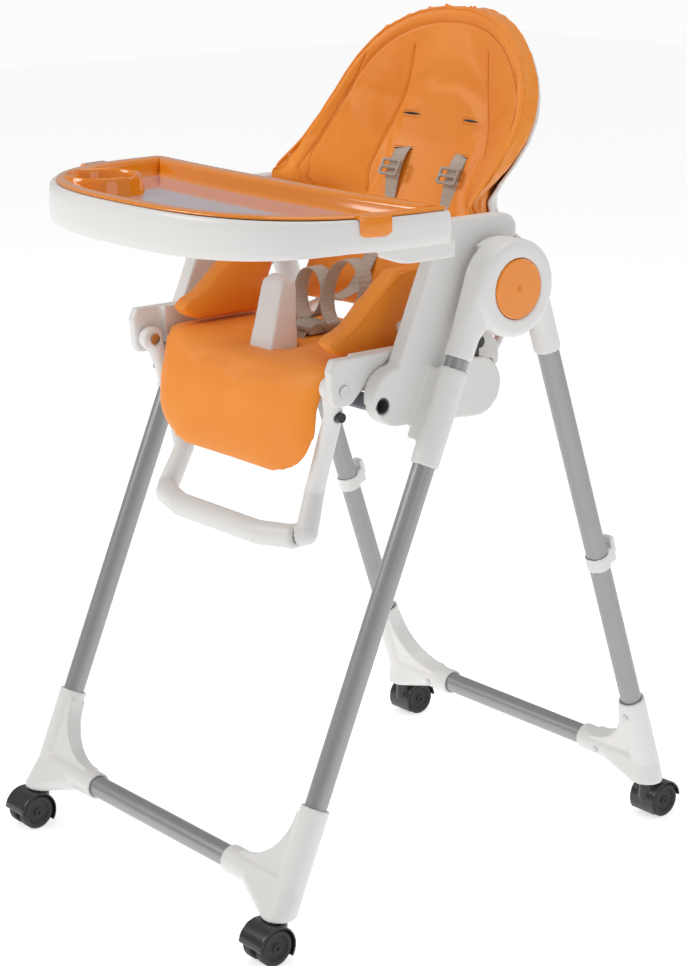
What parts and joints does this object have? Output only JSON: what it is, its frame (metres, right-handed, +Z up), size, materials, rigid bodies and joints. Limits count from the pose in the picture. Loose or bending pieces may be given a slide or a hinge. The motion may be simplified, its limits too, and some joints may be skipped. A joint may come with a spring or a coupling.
{
  "type": "baby high chair",
  "caption": "Folding baby high chair on casters with a padded reclining seat, hinged leg rest and a removable tray with a cup recess.",
  "frame": {"origin": "on the floor, midway between the front and rear casters and midway between the sides", "axes": "+Z up, +X to the child's left, -Y the way the child faces"},
  "size_m": [0.566, 0.7118, 1.05],
  "materials": {
    "frame_steel": "satin silver-grey powder coat",
    "white_plastic": "satin moulded white",
    "orange_plastic": "high gloss moulded orange",
    "orange_leather": "soft leatherette, fine grain",
    "black_plastic": "satin moulded black",
    "steel": "bright zinc",
    "grey_metal": "satin grey",
    "webbing": "woven beige-grey webbing",
    "buckle_plastic": "satin beige-grey"
  },
  "bodies": {
    "front_frame": {"front_leg_left": "frame_steel", "front_leg_right": "frame_steel", "front_crossbar": "frame_steel", "front_corner_left": "white_plastic", "front_corner_right": "white_plastic", "front_corner_screws": "steel", "hub_shell_left": "white_plastic", "hub_shell_right": "white_plastic", "hub_pins": "steel"},
    "rear_frame": {"rear_leg_left": "frame_steel", "rear_leg_right": "frame_steel", "rear_crossbar": "frame_steel", "rear_corner_left": "white_plastic", "rear_corner_right": "white_plastic", "rear_corner_screws": "steel", "hub_arm_left": "white_plastic", "hub_arm_right": "white_plastic", "tray_hooks": "white_plastic"},
    "fold_button_left": {"fold_button_left": "orange_plastic"},
    "fold_button_right": {"fold_button_right": "orange_plastic"},
    "seat": {"carriage_left": "white_plastic", "carriage_right": "white_plastic", "seat_shell": "white_plastic", "cross_tube": "grey_metal", "recline_rod": "steel", "seat_screws": "white_plastic", "seat_cushion": "orange_leather", "bolster_left": "orange_leather", "bolster_right": "orange_leather", "crotch_post": "white_plastic", "lap_straps": "webbing", "crotch_strap": "webbing", "buckle": "buckle_plastic"},
    "height_trigger_left": {"height_trigger_left": "black_plastic"},
    "height_trigger_right": {"height_trigger_right": "black_plastic"},
    "backrest": {"back_shell": "white_plastic", "back_cushion": "orange_leather", "shoulder_strap_left": "webbing", "shoulder_strap_right": "webbing", "strap_sliders": "buckle_plastic"},
    "recline_lever": {"recline_lever": "grey_metal"},
    "legrest": {"footrest_frame": "white_plastic", "legrest_panel": "white_plastic", "legrest_pad": "orange_leather", "legrest_screws": "steel"},
    "legrest_button_left": {"legrest_button_left": "black_plastic"},
    "legrest_button_right": {"legrest_button_right": "black_plastic"},
    "tray": {"tray_base": "white_plastic", "tray_arm_left": "white_plastic", "tray_arm_right": "white_plastic"},
    "tray_latch": {"tray_latch": "grey_metal"},
    "tray_insert": {"tray_insert": "orange_plastic"},
    "caster_front_left": {"caster_fork_front_left": "black_plastic"},
    "wheels_front_left": {"caster_wheels_front_left": "black_plastic"},
    "caster_front_right": {"caster_fork_front_right": "black_plastic"},
    "wheels_front_right": {"caster_wheels_front_right": "black_plastic"},
    "caster_rear_left": {"caster_fork_rear_left": "black_plastic"},
    "wheels_rear_left": {"caster_wheels_rear_left": "black_plastic"},
    "caster_rear_right": {"caster_fork_rear_right": "black_plastic"},
    "wheels_rear_right": {"caster_wheels_rear_right": "black_plastic"}
  },
  "joints": [
    {"name": "fold", "type": "hinge", "parent": "front_frame", "child": "rear_frame", "pos_m": [0, 0.0302, 0.747], "axis": [-1, 0, 0], "range_deg": [0, 36]},
    {"name": "fold_button_left", "type": "slide", "parent": "front_frame", "child": "fold_button_left", "axis": [-1, 0, 0], "range_m": [0, 0.0032], "stiffness_N_per_m": 900, "springref_m": -0.002},
    {"name": "fold_button_right", "type": "slide", "parent": "front_frame", "child": "fold_button_right", "axis": [1, 0, 0], "range_m": [0, 0.0032], "stiffness_N_per_m": 900, "springref_m": -0.002},
    {"name": "seat_height", "type": "slide", "parent": "front_frame", "child": "seat", "axis": [0, 0.3923, 0.9198], "range_m": [-0.25, 0]},
    {"name": "height_trigger_left", "type": "slide", "parent": "seat", "child": "height_trigger_left", "axis": [0, 0, 1], "range_m": [0, 0.006], "stiffness_N_per_m": 400, "springref_m": -0.003},
    {"name": "height_trigger_right", "type": "slide", "parent": "seat", "child": "height_trigger_right", "axis": [0, 0, 1], "range_m": [0, 0.006], "stiffness_N_per_m": 400, "springref_m": -0.003},
    {"name": "recline", "type": "hinge", "parent": "seat", "child": "backrest", "pos_m": [0, 0.0692, 0.64], "axis": [-1, 0, 0], "range_deg": [0, 45]},
    {"name": "recline_lever", "type": "slide", "parent": "backrest", "child": "recline_lever", "axis": [0, 0.3401, 0.9404], "range_m": [0, 0.008], "stiffness_N_per_m": 500, "springref_m": -0.003},
    {"name": "legrest_tilt", "type": "hinge", "parent": "seat", "child": "legrest", "pos_m": [0, -0.1718, 0.642], "axis": [-1, 0, 0], "range_deg": [0, 60]},
    {"name": "legrest_button_left", "type": "slide", "parent": "legrest", "child": "legrest_button_left", "axis": [-1, 0, 0], "range_m": [0, 0.004], "stiffness_N_per_m": 300, "springref_m": -0.002},
    {"name": "legrest_button_right", "type": "slide", "parent": "legrest", "child": "legrest_button_right", "axis": [1, 0, 0], "range_m": [0, 0.004], "stiffness_N_per_m": 300, "springref_m": -0.002},
    {"name": "tray_slide", "type": "slide", "parent": "seat", "child": "tray", "axis": [0, -1, 0], "range_m": [0, 0.09]},
    {"name": "tray_latch", "type": "slide", "parent": "tray", "child": "tray_latch", "axis": [0, 1, 0], "range_m": [0, 0.006], "stiffness_N_per_m": 400, "springref_m": -0.003},
    {"name": "tray_insert_lift", "type": "slide", "parent": "tray", "child": "tray_insert", "axis": [0, 0, 1], "range_m": [0, 0.06]},
    {"name": "swivel_front_left", "type": "hinge", "parent": "front_frame", "child": "caster_front_left", "pos_m": [0.252, -0.31194, 0.06], "axis": [0, 0, 1], "continuous": true},
    {"name": "wheel_spin_front_left", "type": "hinge", "parent": "caster_front_left", "child": "wheels_front_left", "pos_m": [0.252, -0.32944, 0.0225], "axis": [1, 0, 0], "continuous": true},
    {"name": "swivel_front_right", "type": "hinge", "parent": "front_frame", "child": "caster_front_right", "pos_m": [-0.252, -0.31194, 0.06], "axis": [0, 0, 1], "continuous": true},
    {"name": "wheel_spin_front_right", "type": "hinge", "parent": "caster_front_right", "child": "wheels_front_right", "pos_m": [-0.252, -0.32944, 0.0225], "axis": [1, 0, 0], "continuous": true},
    {"name": "swivel_rear_left", "type": "hinge", "parent": "rear_frame", "child": "caster_rear_left", "pos_m": [0.244, 0.31194, 0.06], "axis": [0, 0, 1], "continuous": true},
    {"name": "wheel_spin_rear_left", "type": "hinge", "parent": "caster_rear_left", "child": "wheels_rear_left", "pos_m": [0.244, 0.32944, 0.0225], "axis": [1, 0, 0], "continuous": true},
    {"name": "swivel_rear_right", "type": "hinge", "parent": "rear_frame", "child": "caster_rear_right", "pos_m": [-0.244, 0.31194, 0.06], "axis": [0, 0, 1], "continuous": true},
    {"name": "wheel_spin_rear_right", "type": "hinge", "parent": "caster_rear_right", "child": "wheels_rear_right", "pos_m": [-0.244, 0.32944, 0.0225], "axis": [1, 0, 0], "continuous": true}
  ]
}
